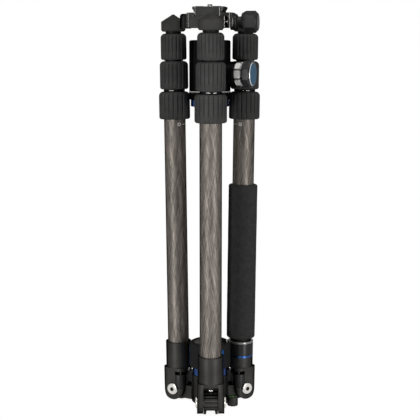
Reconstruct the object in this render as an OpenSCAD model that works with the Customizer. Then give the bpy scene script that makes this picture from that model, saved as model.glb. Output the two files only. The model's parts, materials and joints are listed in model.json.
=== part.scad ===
// Travel tripod, folded: three four-section legs swung up around the column and ball head.
// Millimetres, +Z up the column, origin on the column axis at the height of the fork ends.

/* [Leg tubes] */
// Outside diameter of the top tube of a leg
tube_d = 28; // [27:0.5:29]
// Step down in diameter from each tube to the next
tube_step = 3; // [2.9:0.1:3.3]
// Wall of every leg tube
tube_wall = 1.25; // [0.9:0.05:1.3]
// Length of the top tube from its socket to its twist lock
tube_run = 296; // [240:1:360]
// Height above the socket where the second tube begins
nest_start = 8; // [4:1:20]
// Lean of a folded leg away from the column, in degrees
leg_lean = 0.79; // [0.5:0.01:1.2]

/* [Twist locks] */
// Length of the upper, middle and lower twist lock
lock_len = [35.5, 36, 33.5]; // [30:0.5:40]
// Wall of the upper, middle and lower twist lock outside its ferrule
lock_wall = [3.5, 3.3, 3.1]; // [2:0.1:5]
// Gap after the upper, middle and lower twist lock
lock_gap = [3, 1.5, 2.5]; // [1:0.1:5]
// Number of grip ribs round a twist lock
rib_count = 20; // [16:1:24]
// Width of the groove between two ribs
rib_groove = 2.8; // [1.6:0.1:3.2]
// Depth of the groove between two ribs
rib_depth = 0.75; // [0.4:0.05:1]
// Radius of the rounded shoulder on a twist lock
lock_shoulder = 5.8; // [2:0.1:6.5]
// Radius of the rounded lower edge of a twist lock
lock_foot = 2.8; // [1:0.1:3]
// Thickness of the threaded ferrule on a tube end
ferrule_wall = 2.5; // [1.5:0.1:2.6]
// Length of the closed nose of a twist lock
lock_nose = 10; // [8:0.5:14]
// Thickness of the bare neck between two locks
neck_wall = 1.2; // [0.5:0.1:1.4]

/* [Feet] */
// Wall of the rubber foot outside its tube
foot_wall = 6.1; // [4.5:0.1:7]
// Bevel round the lower edge of the foot
foot_bevel = 1.8; // [1:0.1:3]
// Width of the step at the base of the foot's cone
foot_step = 0.5; // [0.2:0.1:1.5]
// Height of the straight part of the foot
foot_side = 12.7; // [9:0.1:16]
// Height of the cone of the foot
foot_cone = 8.8; // [5:0.1:12]
// Radius of the blunt tip of the foot
foot_tip_r = 2.6; // [1.5:0.1:5]
// Depth of the tube seat in the foot
foot_seat = 9; // [6:0.5:11]

/* [Yokes] */
// Gap between the folded foam grip and the column lock
leg_gap = 1.15; // [0.5:0.05:4]
// Height of the tube end above the pivot
seat_h = 62.3; // [56:0.1:76]
// Wall of the tube socket
socket_wall = 2.8; // [2.4:0.1:3.4]
// Thickness of the fork's roof above its slot
fork_roof = 4; // [3:0.1:6]
// Width of the fork across the pivot
fork_w = 35; // [34:0.2:37]
// Radius of the rounded fork corners
fork_corner = 10; // [6:0.5:11]
// Width of the slot between the ears
slot_w = 19; // [18.8:0.1:20]
// Diameter of the pivot bolt
bolt_d = 8; // [6:0.2:10]
// Diameter of the pivot bolt head
bolt_head_d = 15.5; // [13:0.1:16]
// How far the domed head stands out of the fork
bolt_dome = 2; // [1:0.1:3]
// Depth of the head seat in the fork
bolt_seat = 1.4; // [0.8:0.1:2.2]
// Width of the hexagon recess in the bolt head
bolt_hex = 5; // [4:0.1:7]

/* [Angle locks] */
// Distance from the leg axis to the near face of the sliding lock
latch_near = 4.3; // [4:0.1:6]
// Distance from the leg axis to the far face of the sliding lock
latch_far = 15.5; // [14.5:0.1:16]
// Height of the sliding lock's lower edge above the pivot
latch_low = 2; // [1.5:0.1:5]
// Thickness of the sliding lock above the lug
latch_wall = 5.5; // [4:0.1:7]
// Travel of the sliding lock
latch_travel = 4; // [2:0.1:4.2]
// Width of the finger pad
pad_w = 14; // [10:0.5:17]
// Distance from the leg axis to the face of the finger pad
pad_far = 17; // [16.2:0.1:17.4]
// Height of the finger pad's lower edge above the pivot
pad_low = 6.2; // [5.5:0.1:8]
// How far the finger pad rises above the sliding lock
pad_rise = 2.5; // [1:0.1:4]
// Diameter of the two guide pins
guide_d = 3; // [2:0.1:3.2]

/* [Spider] */
// Radius of the stop arc on a lug
lug_r = 14; // [13:0.1:14]
// Width of a lug
lug_w = 18.2; // [17:0.1:18.4]
// Fall in radius at each of the three leg stops
stop_step = 1.1; // [0.6:0.05:1.4]
// Directions of the stops from level, outward, in degrees
stop_angle = [15, -15, -40]; // [-60:1:30]
// Width of the channel under a lug
channel_w = 12.3; // [8:0.1:13]
// Depth of the channel under a lug
channel_h = 5; // [2:0.1:6]
// Diameter of the hub
hub_d = 48; // [44:0.5:50]
// Height of the hub
hub_h = 37.2; // [34:0.1:38]
// Height of the flat underside of the hub
hub_low = 1.7; // [1:0.1:3]
// How far the neck under the column lock stands out past the collet
neck_out = 2; // [1:0.1:3]
// Height of the top of the neck
neck_top = 49.6; // [48:0.1:49.8]
// Wall of the slotted collet
collet_wall = 3.34; // [2:0.02:5]
// Height of the top of the collet
collet_top = 78.4; // [70:0.1:78.6]
// Distance of the level cup from the column axis
level_r = 34; // [32:0.1:36]
// Direction of the level cup, in degrees
level_azimuth = -30; // [-33:1:-27]
// Diameter of the level cup
level_d = 14; // [12:0.1:15]
// Height of the top of the level cup
level_top = 12.2; // [10:0.1:14]
// Diameter of the bubble vial
vial_d = 10.6; // [8:0.1:11]

/* [Column] */
// Diameter of the column
column_d = 24; // [22:0.5:25]
// Wall of the column
column_wall = 1.5; // [1:0.1:3]
// Height of the lower end of the column
column_low = 15.4; // [15.2:0.1:16]
// Length of the column tube
column_len = 375.1; // [340:0.1:390]
// Diameter of the column's top plate
plate_d = 48.6; // [44:0.2:52]
// Thickness of the column's top plate
plate_h = 8.9; // [6:0.1:12]
// Diameter of the end cap under the column
cap_d = 30; // [28:0.2:31]
// Height of the end cap
cap_h = 9.4; // [8:0.1:10]
// Diameter of the hook ring
hook_d = 17; // [14:0.5:19]
// Thickness of the hook ring
hook_t = 4; // [3:0.1:5]
// Travel of the hook
hook_travel = 12; // [6:0.5:16]
// Diameter of the head stud
stud_d = 9.52; // [9:0.02:10]

/* [Column lock] */
// Wall of the column lock's sleeve
sleeve_wall = 7.3; // [5:0.1:9]
// How far the column lock's rim narrows towards its top face
grip_lock_slope = 3; // [2:0.1:4]
// Height of the column lock's lower face
grip_lock_low = 50; // [50:0.1:52]
// Height of the column lock's top face
grip_lock_high = 82.4; // [80:0.1:84]
// Height of the bevel under the top face
grip_lock_bevel = 5.4; // [3:0.1:8]
// Thickness of the rubber grip
grip_lock_wall = 2.4; // [1.5:0.1:3]
// Width of a window in the rubber grip
window_w = 6; // [3:0.1:8]
// Wall of the seat ring under the column lock
seat_ring_wall = 3.92; // [2:0.02:5]

/* [Foam grip] */
// Wall of the foam grip
foam_wall = 4.92; // [3:0.02:6]
// Height of the foam grip's lower end above the socket
foam_low = 5; // [2:0.5:10]
// Length of the foam grip
foam_len = 205.5; // [120:0.5:230]
// Wall of the coupling under the foam grip
coupling_wall = 2.9; // [2:0.1:4]
// Thickness of the ring under the coupling
coupling_ring = 2.6; // [1:0.1:4]

/* [Ball head] */
// How far the pan base stands out past the housing
pan_lip = 0.3; // [0:0.1:1.5]
// Height of the pan base
pan_h = 10.8; // [8:0.1:14]
// Diameter of the housing
housing_d = 52.4; // [44:0.2:56]
// Height of the housing
housing_h = 63.3; // [60:0.1:68]
// Wall of the housing round the ball
housing_wall = 6.2; // [4:0.1:8]
// Depth of the ball's centre below the rim of the housing
ball_depth = 12.6; // [11:0.1:15]
// Diameter of the ball's stem
stem_d = 14; // [10:0.5:15]
// Height of the stem's shoulder above the rim of the housing
stem_h = 12; // [10:0.1:14]
// Direction of the ball lock knob, in degrees
lock_azimuth = -20.6; // [-22:0.1:-20.4]
// Height of the ball lock knob's axis above the pan base
lock_axis_h = 21.3; // [20:0.1:24]
// Diameter of the boss for the ball lock knob
lock_boss_d = 31.6; // [28:0.2:33]
// Reach of the boss out of the housing
lock_boss_out = 8.8; // [6:0.1:10]
// Diameter of the silver ring of the ball lock knob
lock_ring_d = 31.4; // [28:0.2:34]
// Length of the silver ring
lock_ring_len = 9.7; // [6:0.1:12]
// Diameter of the ball lock knob
lock_knob_d = 36; // [32:0.2:36]
// Length of the ball lock knob
lock_knob_len = 12; // [8:0.1:15]
// Diameter of the ball lock knob's cap
lock_cap_d = 30; // [24:0.2:31]
// Diameter of the pan lock knob
pan_knob_d = 15; // [12:0.2:17]
// Length of the pan lock knob
pan_knob_len = 9; // [6:0.1:11]

/* [Clamp] */
// Direction of the clamp knob, in degrees
clamp_azimuth = -12.5; // [-13.5:0.1:-12.2]
// Reach of the clamp's fixed side from the column axis
fixed_reach = 26.8; // [25:0.1:29]
// Reach of the clamp's moving side from the column axis
moving_reach = 30.5; // [30:0.1:32]
// Depth of the clamp from front to back
jaw_depth = 35; // [30:0.2:35]
// Height of the clamp jaws
jaw_h = 18.5; // [16:0.1:21]
// Height of the boss under the clamp
clamp_foot_h = 3; // [2:0.1:5]
// Thickness of the moving jaw
jaw_t = 4.8; // [4:0.1:6]
// Gap between the clamp body and the moving jaw
jaw_gap = 3.7; // [2:0.1:4.5]
// Bevel on the upright edges of the jaws
jaw_bevel = 2.6; // [1:0.1:4]
// Diameter of the clamp screw
clamp_screw_d = 5; // [4:0.1:6]
// Diameter of the two guide rods
rod_d = 3.2; // [2:0.1:4]
// Diameter of the flange that carries the clamp knob
flange_d = 20; // [16:0.2:20.6]
// Thickness of that flange
flange_t = 5; // [3:0.1:6]
// Length of the clamp knob's neck
knob_neck = 5.7; // [3:0.1:8]
// Diameter of the clamp knob
clamp_knob_d = 27.6; // [24:0.2:28]
// Length of the clamp knob
clamp_knob_len = 20.3; // [15:0.1:24]
// Bevel round the outer end of the clamp knob
clamp_knob_bevel = 3.6; // [1:0.1:5]
// Length of the round rim at the inner end of the clamp knob
clamp_rim_len = 3.6; // [2:0.1:5]

/* [Quick release plate] */
// Width of the plate's body
qr_w = 36; // [34:0.2:38]
// Width of the plate's top flange
qr_flange_w = 42; // [40:0.2:46]
// Length of the plate
qr_len = 34; // [34:0.5:39]
// Bevel on the upright edges of the plate
qr_bevel = 2.3; // [1:0.1:3]
// Radius of the rounded corners of the plate's flange
qr_corner = 6; // [3:0.1:8]
// Height of the plate
qr_h = 11.6; // [10:0.1:14]
// Diameter of the camera screw
screw_d = 6.35; // [6.35:0.01:9.52]
// Height of the camera screw above the plate
screw_reach = 3.4; // [3:0.1:6]
// Diameter of the camera screw's neck inside the plate
screw_neck_d = 4.6; // [4:0.1:5.5]

/* [Hidden] */
$fn = 96;
groove_fn = 24;
// Place of the first groove, in steps from the outer side of the leg
rib_offset = 0.5;
// Small length by which a cut runs past its face
over = 0.5;
// Radial clearance of a running fit
run_fit = 0.08;
// Gap between faces that pass each other
pass_gap = 0.3;
// Small fillet and bevel sizes
edge = 1;
soft_edge = 2.5;

// Leg directions, and the places along a leg measured up from the tube end
front_azimuth = -90;
right_azimuth = 30;
left_azimuth = 150;
lock_low = [
    tube_run,
    tube_run + lock_len[0] + lock_gap[0],
    tube_run + lock_len[0] + lock_gap[0] + lock_len[1] + lock_gap[1],
];
foot_low = lock_low[2] + lock_len[2] + lock_gap[2];
tube_r = [for (i = [0:3]) (tube_d - i * tube_step) / 2];
lock_r = [for (i = [0:2]) tube_r[i] + ferrule_wall + lock_wall[i]];
nest_step = 2;

// Sliding lock: its play, and its guide pins as shares of its own size
latch_gap = 0.5;
latch_pin_share = 0.56;
latch_pin_y_share = 0.76;
latch_pin_low_share = 0.35;

// Heights above the pivot: sliding lock over the lug, slot over the lock, roof over the slot
latch_high = lug_r + pass_gap + latch_wall;
pad_high = latch_high + pad_rise;
slot_h = latch_high + latch_travel + latch_gap;
fork_top = slot_h + fork_roof;
ear_out = 0.4;
ear_r = lug_r + ear_out;
lug_drop = 0.7;
pivot_z = lug_r + lug_drop;

// Tube socket, and how its length is shared out
socket_r = tube_d / 2 + socket_wall;
socket_len = seat_h - fork_top;
seat_share = 0.824;
seat_depth = socket_len * seat_share;
coupling_share = 0.53;
coupling_len = socket_len * coupling_share;
stud_share = 0.75;
coupling_r = tube_d / 2 + coupling_wall;
foam_r = tube_d / 2 + run_fit + foam_wall;

// Screw in the roof of the fork's slot, and the boss round it
slot_screw_r = 4.5;
slot_screw_dome = 3;
slot_screw_x = 8;
slot_boss_h = 3.8;
slot_boss_r = 8.5;

// Floor of a tube seat, and the stud under the foam grip
seat_floor = 1;
coupling_stud_r = 9;
coupling_stud_len = (socket_len - coupling_len - coupling_ring) * stud_share;

// Lug outline as shares of the stop arc, and the web to the hub
stop_last = 28;
lug_foot_share = 0.6;
lug_toe_share = 0.28;
web_top_share = 0.3;
web_rise = 5;

// Heights up the column
column_high = column_low + column_len;
pan_low = column_high + plate_h;
housing_low = pan_low + pan_h + pass_gap;
housing_high = housing_low + housing_h;
ball_z = housing_high - ball_depth;
stem_top = housing_high + stem_h;
clamp_low = stem_top + pass_gap;
jaw_low = clamp_low + clamp_foot_h;
jaw_high = jaw_low + jaw_h;
channel_share = 0.76;
channel_z = jaw_low + jaw_h * channel_share;
clamp_axis_share = 0.38;
clamp_axis_z = jaw_low + jaw_h * clamp_axis_share;
qr_low = channel_z + pass_gap;
lock_axis_z = pan_low + pan_h + lock_axis_h;
pan_knob_z = housing_low + pan_knob_d / 2 + edge;

// Radii from the column outwards, up to the leg pivots
ball_r = housing_d / 2 - housing_wall;
pan_r = housing_d / 2 + pan_lip;

// Column guide, plugs in the column's ends, and the hook's wire
hub_lip_r = column_d / 2 + pass_gap;
bush_wall = 1.5;
bush_r = column_d / 2 + run_fit + bush_wall;
collet_r = bush_r + run_fit + collet_wall;
neck_r = collet_r + neck_out;
seat_ring_r = neck_r + run_fit + seat_ring_wall;
lip_h = 2.7;
hub_roof = column_low + pass_gap;
column_stub = 14;
stud_len = 8.6;
hook_wire_share = 0.8;

// Column lock: sleeve, peg on its top face and the directions of the three windows
sleeve_r = collet_r + pass_gap + sleeve_wall;
grip_lock_r = sleeve_r + grip_lock_wall;
grip_lock_top_r = grip_lock_r - grip_lock_slope;
pivot_r = grip_lock_r + foam_r + leg_gap;
peg_azimuth = -15;
peg_in = 15;
peg_len = 8.5;
peg_r = 2.2;
window_azimuth = [-54, 66, 186];

// Head: knob directions, pan spigot, knob shafts, cap and the pin on the ball's stem
pan_knob_azimuth = lock_azimuth + 120;
notch_azimuth = lock_azimuth + 180;
spigot_r = 12;
spigot_h = 8;
pan_boss_r = 5.5;
pan_knob_low = housing_d / 2 + soft_edge + pass_gap;
lock_boss_r = housing_d / 2 + lock_boss_out;
lock_ring_r = lock_boss_r + pass_gap + lock_ring_len;
lock_knob_r = lock_ring_r + lock_knob_len;
pan_shaft_r = 2.5;
lock_shaft_r = 5;
lock_shaft_in = 15;
lock_cap_h = 3;
knob_sides = 8;
clamp_knob_sides = 6;
corner_share = 1.015;
stem_pin_r = 5;
stem_pin_h = 5;

// Clamp: guide rods, and the rounded boss at the front of the fixed side
rod_in = 6;
rod_y = 11;
level_boss_out = 4.7;
level_boss_r = 6;
level_boss_y = 5;
level_boss_round = 3.6;

// Plate: waist, dovetail, screw head and the right half of its outline from the bottom up
qr_waist = 1.6;
qr_neck = qr_w / 2 - qr_waist;
qr_dovetail = 3.4;
screw_head_r = 7.4;
screw_head_h = 3.5;
screw_gap = 0.1;
qr_top = qr_low + qr_h;
qr_lobe_in = 3;
qr_half = [
    [qr_w / 2, qr_low], [qr_neck - pass_gap, qr_low + qr_dovetail],
    [qr_neck - pass_gap, jaw_high + pass_gap], [qr_w / 2, jaw_high + edge + pass_gap],
    [qr_w / 2, qr_top - 5 * edge], [qr_flange_w / 2, qr_top - 2 * edge],
    [qr_flange_w / 2, qr_top - over], [qr_flange_w / 2 - over, qr_top],
];

// Colours
casting = "#2e2a28";
rubber = "#2c2d2d";
carbon = "#56504b";
blue = "#2f78b8";
silver = "#c9c6bf";
gloss = "#161616";
foam = "#262727";
green = "#7f9a63";

// Frames: a leg's own frame has its origin at the pivot, +X outward and +Z along the leg
module leg_frame(azimuth)
    rotate([0, 0, azimuth])
        translate([pivot_r, 0, pivot_z])
            rotate([0, leg_lean, 0])
                children();

// Frame with +Z along a radius of the column, at a height
module radial_frame(azimuth, z)
    rotate([0, 0, azimuth])
        translate([0, 0, z])
            rotate([0, 90, 0])
                children();

// Clamp frame: +X towards the clamp knob, +Y to the back
module clamp_frame()
    rotate([0, 0, clamp_azimuth])
        children();

// Clamp frame turned so that +Z runs along the clamp screw
module screw_frame()
    clamp_frame()
        translate([0, 0, clamp_axis_z])
            rotate([0, 90, 0])
                children();

// Basic forms
module ring(r_out, r_in, z0, z1)
    translate([0, 0, z0])
        difference() {
            cylinder(h = z1 - z0, r = r_out);
            translate([0, 0, -over])
                cylinder(h = z1 - z0 + 2 * over, r = r_in);
        }

module bore(r, z0, z1)
    translate([0, 0, z0 - over])
        cylinder(h = z1 - z0 + 2 * over, r = r);

// Round bar with rounded outer edges, from z0 to z1
module bar(r, z0, z1, top, low)
    rotate_extrude()
        translate([0, z0])
            bar_half(r, z1 - z0, top, low);

module bar_half(r, h, top, low)
    intersection() {
        square([r, h]);
        union() {
            square([r - low, h / 2]);
            translate([0, h / 2])
                square([r - top, h / 2]);
            translate([0, low])
                square([r, h - top - low]);
            translate([r - top, h - top])
                circle(r = top);
            translate([r - low, low])
                circle(r = low);
        }
    }

// Round bar with bevelled ends
module bevelled(r, z0, z1, low, high)
    rotate_extrude()
        polygon([
            [0, z0], [r - low, z0], [r, z0 + low],
            [r, z1 - high], [r - high, z1], [0, z1],
        ]);

// Outline in X and Z, extruded to a width centred on Y
module across(width)
    rotate([90, 0, 0])
        translate([0, 0, -width / 2])
            linear_extrude(width)
                children();

module rounded_plan(x, y, r) {
    square([2 * (x - r), 2 * y], center = true);
    square([2 * x, 2 * (y - r)], center = true);
    for (i = [-1, 1], j = [-1, 1])
        translate([i * (x - r), j * (y - r)])
            circle(r = r);
}

// Wedge of a circle between two angles, wide enough to cut radius r
module wedge(r, from, to)
    polygon([
        [0, 0],
        [2 * r * cos(from), 2 * r * sin(from)],
        [2 * r * cos((from + to) / 2), 2 * r * sin((from + to) / 2)],
        [2 * r * cos(to), 2 * r * sin(to)],
    ]);

// Yoke: tube socket above a fork that straddles the spider's lug
module yoke(socket_top, seat_r, seat_z) {
    color(casting)
        difference() {
            union() {
                translate([0, 0, fork_top])
                    cylinder(h = socket_top - fork_top, r = socket_r);
                difference() {
                    fork_block();
                    fork_slot();
                }
                slot_boss();
                guide_pins();
            }
            bore(seat_r + run_fit, seat_z, socket_top);
            rotate([90, 0, 0])
                bore(bolt_d / 2 + run_fit, -fork_w / 2, fork_w / 2);
            for (side = [-1, 1])
                rotate([90 * side, 0, 0])
                    bore(bolt_head_d / 2 + pass_gap, fork_w / 2 - bolt_seat + over, fork_w / 2);
        }
}

module fork_block()
    intersection() {
        across(fork_w)
            union() {
                circle(r = ear_r);
                polygon([
                    [-ear_r, 0], [ear_r, 0],
                    [socket_r, fork_top], [-socket_r, fork_top],
                ]);
            }
        translate([0, 0, -ear_r])
            linear_extrude(ear_r + fork_top)
                rounded_plan(socket_r, fork_w / 2, fork_corner);
    }

module fork_slot() {
    translate([-2 * socket_r, -slot_w / 2, -2 * ear_r])
        cube([4 * socket_r, slot_w, 2 * ear_r + slot_h]);
    translate([-2 * socket_r, -fork_w / 2 - over, latch_low - latch_gap])
        cube([
            2 * socket_r - latch_near + latch_gap,
            fork_w + 2 * over,
            slot_h - latch_low + latch_gap,
        ]);
    translate([-2 * socket_r, -pad_w / 2 - latch_gap, slot_h - over])
        cube([
            2 * socket_r - latch_near + latch_gap,
            pad_w + 2 * latch_gap,
            pad_high + latch_travel + latch_gap - slot_h + over,
        ]);
}

// Round boss in the roof of the slot, for the screw that holds the socket
module slot_boss()
    translate([slot_screw_x, 0, slot_h - slot_boss_h])
        cylinder(h = slot_boss_h + edge, r1 = slot_screw_r + edge, r2 = slot_boss_r);

module guide_places()
    for (side = [-1, 1])
        translate([
            -latch_near - (latch_far - latch_near) * latch_pin_share,
            side * fork_w / 2 * latch_pin_y_share,
            0,
        ])
            children();

module guide_pins()
    guide_places()
        translate([0, 0, latch_high * latch_pin_low_share])
            cylinder(h = slot_h + edge - latch_high * latch_pin_low_share, r = guide_d / 2);

// Sliding angle lock on the inner side of the fork, with its finger pad
module angle_lock() {
    color(gloss)
        difference() {
            union() {
                intersection() {
                    translate([-latch_far, -fork_w / 2, latch_low])
                        cube([latch_far - latch_near, fork_w, latch_high - latch_low]);
                    translate([0, 0, -ear_r])
                        linear_extrude(2 * ear_r + latch_high)
                            rounded_plan(socket_r, fork_w / 2, fork_corner);
                }
                finger_pad();
                latch_tooth();
            }
            rotate([90, 0, 0])
                bore(lug_r + pass_gap, -slot_w / 2, slot_w / 2);
            rotate([90, 0, 0])
                bore(bolt_head_d / 2 + 2 * pass_gap, -fork_w / 2, fork_w / 2);
            guide_places()
                bore(guide_d / 2 + run_fit, latch_low, latch_high);
            translate([-2 * socket_r, -slot_w / 2, 0])
                cube([2 * socket_r, slot_w, web_rise + latch_gap]);
        }
}

module finger_pad()
    intersection() {
        translate([-pad_far, -pad_w / 2, pad_low])
            cube([pad_far - latch_near, pad_w, pad_high - pad_low]);
        translate([-pad_far + pad_w / 2, 0, 0])
            rotate([90, 0, 90])
                translate([0, 0, -pad_w])
                    linear_extrude(2 * pad_w)
                        pad_face();
    }

module pad_face() {
    translate([0, pad_high - pad_w / 2])
        circle(r = pad_w / 2);
    translate([-pad_w / 2, pad_low])
        square([pad_w, pad_high - pad_low - pad_w / 2]);
}

// Tooth that drops behind a stop when the leg is opened
module latch_tooth()
    translate([-latch_near - over, -slot_w / 2 + latch_gap, lug_r + pass_gap])
        cube([over + 2 * edge - pass_gap, slot_w - 2 * latch_gap, latch_high - lug_r - pass_gap]);

// Pivot bolt with two domed heads, and the screw in the roof of the slot
module pivot_bolt() {
    head_in = fork_w / 2 - bolt_seat;
    color(silver) {
        difference() {
            rotate([90, 0, 0])
                union() {
                    translate([0, 0, -head_in])
                        cylinder(h = 2 * head_in, r = bolt_d / 2);
                    for (side = [0, 180])
                        rotate([side, 0, 0])
                            bar(bolt_head_d / 2, head_in, fork_w / 2 + bolt_dome, bolt_dome, edge / 2);
                }
            for (side = [-1, 1])
                rotate([90 * side, 0, 0])
                    translate([0, 0, fork_w / 2])
                        cylinder(h = 2 * bolt_dome, r = bolt_hex / sqrt(3), $fn = 6);
        }
        translate([slot_screw_x, 0, slot_h - slot_boss_h - slot_screw_dome])
            bar(slot_screw_r, 0, slot_screw_dome, edge / 2, slot_screw_dome - edge);
    }
}

// Leg tubes, each with the threaded ferrule of the lock that it carries
module leg_tube(section, start) {
    r = tube_r[section];
    lock_end = lock_low[section] + lock_len[section] - lock_nose;
    color(carbon)
        difference() {
            union() {
                translate([0, 0, start])
                    cylinder(h = lock_end - start, r = r);
                translate([0, 0, lock_low[section] + latch_gap])
                    cylinder(h = lock_end - lock_low[section] - latch_gap, r = r + ferrule_wall);
                if (section > 0)
                    neck(section, lock_low[section] + edge);
            }
            bore(r - tube_wall, start, lock_end);
        }
}

module neck(section, high) {
    low = lock_low[section - 1] + lock_len[section - 1] + pass_gap;
    translate([0, 0, low])
        cylinder(h = high - low, r = tube_r[section] + neck_wall);
}

module last_tube() {
    start = nest_start + 2 * nest_step;
    color(carbon)
        difference() {
            union() {
                translate([0, 0, start])
                    cylinder(h = foot_low + foot_seat - start, r = tube_r[3]);
                translate([0, 0, lock_low[2] + lock_len[2] + pass_gap])
                    cylinder(h = lock_gap[2] - pass_gap, r = tube_r[3] + neck_wall / 2);
            }
            bore(tube_r[3] - tube_wall, start, foot_low);
        }
}

// Twist lock: rubber-ribbed collar screwed over the ferrule of the tube above
module twist_lock(section) {
    low = lock_low[section];
    high = low + lock_len[section];
    r = lock_r[section];
    rib_len = lock_len[section] - lock_shoulder / 2 - edge;
    color(rubber)
        difference() {
            bar(r, low, high, lock_shoulder, lock_foot);
            bore(tube_r[section] + ferrule_wall + run_fit, low, high - lock_nose + edge);
            bore(tube_r[section + 1] + pass_gap, low, high);
            for (i = [0:rib_count - 1])
                rotate([0, 0, (i + rib_offset) * 360 / rib_count])
                    translate([r - rib_depth + rib_groove / 2, 0, low + edge])
                        cylinder(h = rib_len, r = rib_groove / 2, $fn = groove_fn);
        }
}

// Rubber foot with a blunt cone
module foot() {
    r = tube_r[3] + foot_wall;
    color(rubber)
        difference() {
            rotate_extrude()
                polygon([
                    [0, foot_low], [r - foot_bevel, foot_low], [r, foot_low + foot_bevel],
                    [r, foot_low + foot_side], [r - foot_step, foot_low + foot_side],
                    [foot_tip_r, foot_low + foot_side + foot_cone - edge],
                    [foot_tip_r - edge, foot_low + foot_side + foot_cone],
                    [0, foot_low + foot_side + foot_cone],
                ]);
            bore(tube_r[3] + run_fit, foot_low, foot_low + foot_seat - over + run_fit);
        }
}

// Pieces that only the leg with the foam grip has
module foam_grip()
    color(foam)
        difference() {
            bar(foam_r, foam_low, foam_low + foam_len, soft_edge, soft_edge);
            bore(tube_d / 2 + run_fit, foam_low, foam_low + foam_len);
        }

module grip_coupling()
    color(gloss)
        difference() {
            union() {
                bar(coupling_r, -coupling_len, edge, edge, edge / 2);
                translate([0, 0, -coupling_len - coupling_ring - coupling_stud_len])
                    cylinder(h = coupling_ring + coupling_stud_len + edge, r = coupling_stud_r);
            }
            bore(tube_d / 2 + run_fit, -coupling_len + edge + 3 * over, edge);
        }

module grip_ring()
    color(blue)
        ring(coupling_r, coupling_stud_r + run_fit, -coupling_len - coupling_ring, -coupling_len);

// Spider: hub with three lugs, column neck and slotted collet
module spider() {
    color(casting)
        difference() {
            union() {
                rotate_extrude()
                    translate([0, hub_low])
                        bar_half(hub_d / 2, hub_h, soft_edge, edge);
                translate([0, 0, hub_low + hub_h - edge])
                    cylinder(h = neck_top - hub_low - hub_h + edge, r = neck_r);
                translate([0, 0, neck_top - edge])
                    cylinder(h = collet_top - neck_top + edge, r = collet_r);
                for (azimuth = [front_azimuth, right_azimuth, left_azimuth])
                    rotate([0, 0, azimuth])
                        lug();
                rotate([0, 0, level_azimuth])
                    level_arm();
            }
            bore(cap_d / 2 + pass_gap, hub_low, hub_roof - over);
            bore(hub_lip_r, hub_low, collet_top);
            translate([0, 0, hub_roof + lip_h])
                cylinder(h = collet_top, r = bush_r + run_fit);
            for (i = [0:2])
                rotate([0, 0, i * 120 + front_azimuth])
                    translate([0, -edge, neck_top + 2 * edge])
                        cube([2 * collet_r, 2 * edge, collet_top]);
        }
}

module lug()
    difference() {
        translate([pivot_r, 0, pivot_z])
            across(lug_w)
                lug_side();
        translate([pivot_r, 0, pivot_z])
            rotate([90, 0, 0])
                bore(bolt_d / 2 + run_fit, -lug_w / 2, lug_w / 2);
        translate([hub_d / 2 + soft_edge, 0, 0])
            rotate([90, 0, 90])
                linear_extrude(2 * pivot_r)
                    channel();
    }

// Side of a lug about its pivot: a stop arc that falls away in three steps
module lug_side() {
    difference() {
        circle(r = lug_r);
        for (i = [0:2])
            difference() {
                wedge(lug_r, stop_angle[i], i < 2 ? stop_angle[i + 1] : stop_angle[2] - stop_last);
                circle(r = lug_r - (i + 1) * stop_step);
            }
    }
    polygon([
        [hub_d / 2 - edge - pivot_r, hub_low - pivot_z],
        [-lug_r, hub_low - pivot_z],
        [-lug_foot_share * lug_r, -pivot_z],
        [lug_toe_share * lug_r, -pivot_z],
        [0, 0],
        [-web_top_share * lug_r, web_top_share * lug_r],
        [hub_d / 2 - edge - pivot_r, web_rise],
    ]);
}

module channel()
    polygon([
        [-channel_w / 2, -over], [channel_w / 2, -over],
        [channel_w / 2 - edge, channel_h], [-channel_w / 2 + edge, channel_h],
    ]);

module level_arm()
    difference() {
        translate([0, -level_d / 4, hub_low + edge])
            cube([level_r, level_d / 2, level_top / 2]);
        translate([level_r, 0, 0])
            bore(level_d / 2 + run_fit, 0, level_top);
    }

// Bubble level: cup and vial
module level_cup()
    color(casting)
        rotate([0, 0, level_azimuth])
            translate([level_r, 0, 0])
                difference() {
                    bar(level_d / 2, edge / 2, level_top, edge / 2, edge);
                    bore(vial_d / 2 + run_fit, level_top / 2 + over, level_top);
                }

module level_vial()
    color(green)
        rotate([0, 0, level_azimuth])
            translate([level_r, 0, 0])
                bar(vial_d / 2, level_top / 2, level_top - edge / 4, edge, edge / 4);

// Column and what it carries
module column_bush()
    color(gloss)
        difference() {
            ring(bush_r, column_d / 2 + run_fit, hub_roof + lip_h + pass_gap, collet_top - pass_gap);
            translate([0, -edge / 2, 0])
                cube([2 * collet_r, edge, collet_top]);
        }

module seat_ring()
    color(blue)
        difference() {
            bar(seat_ring_r, hub_low + hub_h, neck_top - edge / 2, edge, edge);
            bore(neck_r + run_fit, hub_low + hub_h, neck_top);
        }

module column_lock_sleeve()
    color(blue)
        difference() {
            union() {
                ring(sleeve_r, collet_r + pass_gap, grip_lock_low, grip_lock_high - edge);
                ring(sleeve_r, column_d / 2 + pass_gap, collet_top + pass_gap, grip_lock_high - edge);
                windows(grip_lock_r - pass_gap, window_w - 2 * pass_gap, 0);
                lock_peg(0);
                rotate([0, 0, peg_azimuth])
                    translate([peg_in, -edge, grip_lock_high - 2 * edge])
                        cube([peg_len / 2, 2 * edge, peg_r + edge]);
            }
            bore(collet_r + pass_gap, grip_lock_low, collet_top + pass_gap - over);
        }

// Round peg that lies along a radius on the column lock's top face
module lock_peg(margin)
    radial_frame(peg_azimuth, grip_lock_high + peg_r - edge)
        translate([0, 0, peg_in])
            cylinder(h = peg_len + margin, r = peg_r + margin);

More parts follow.
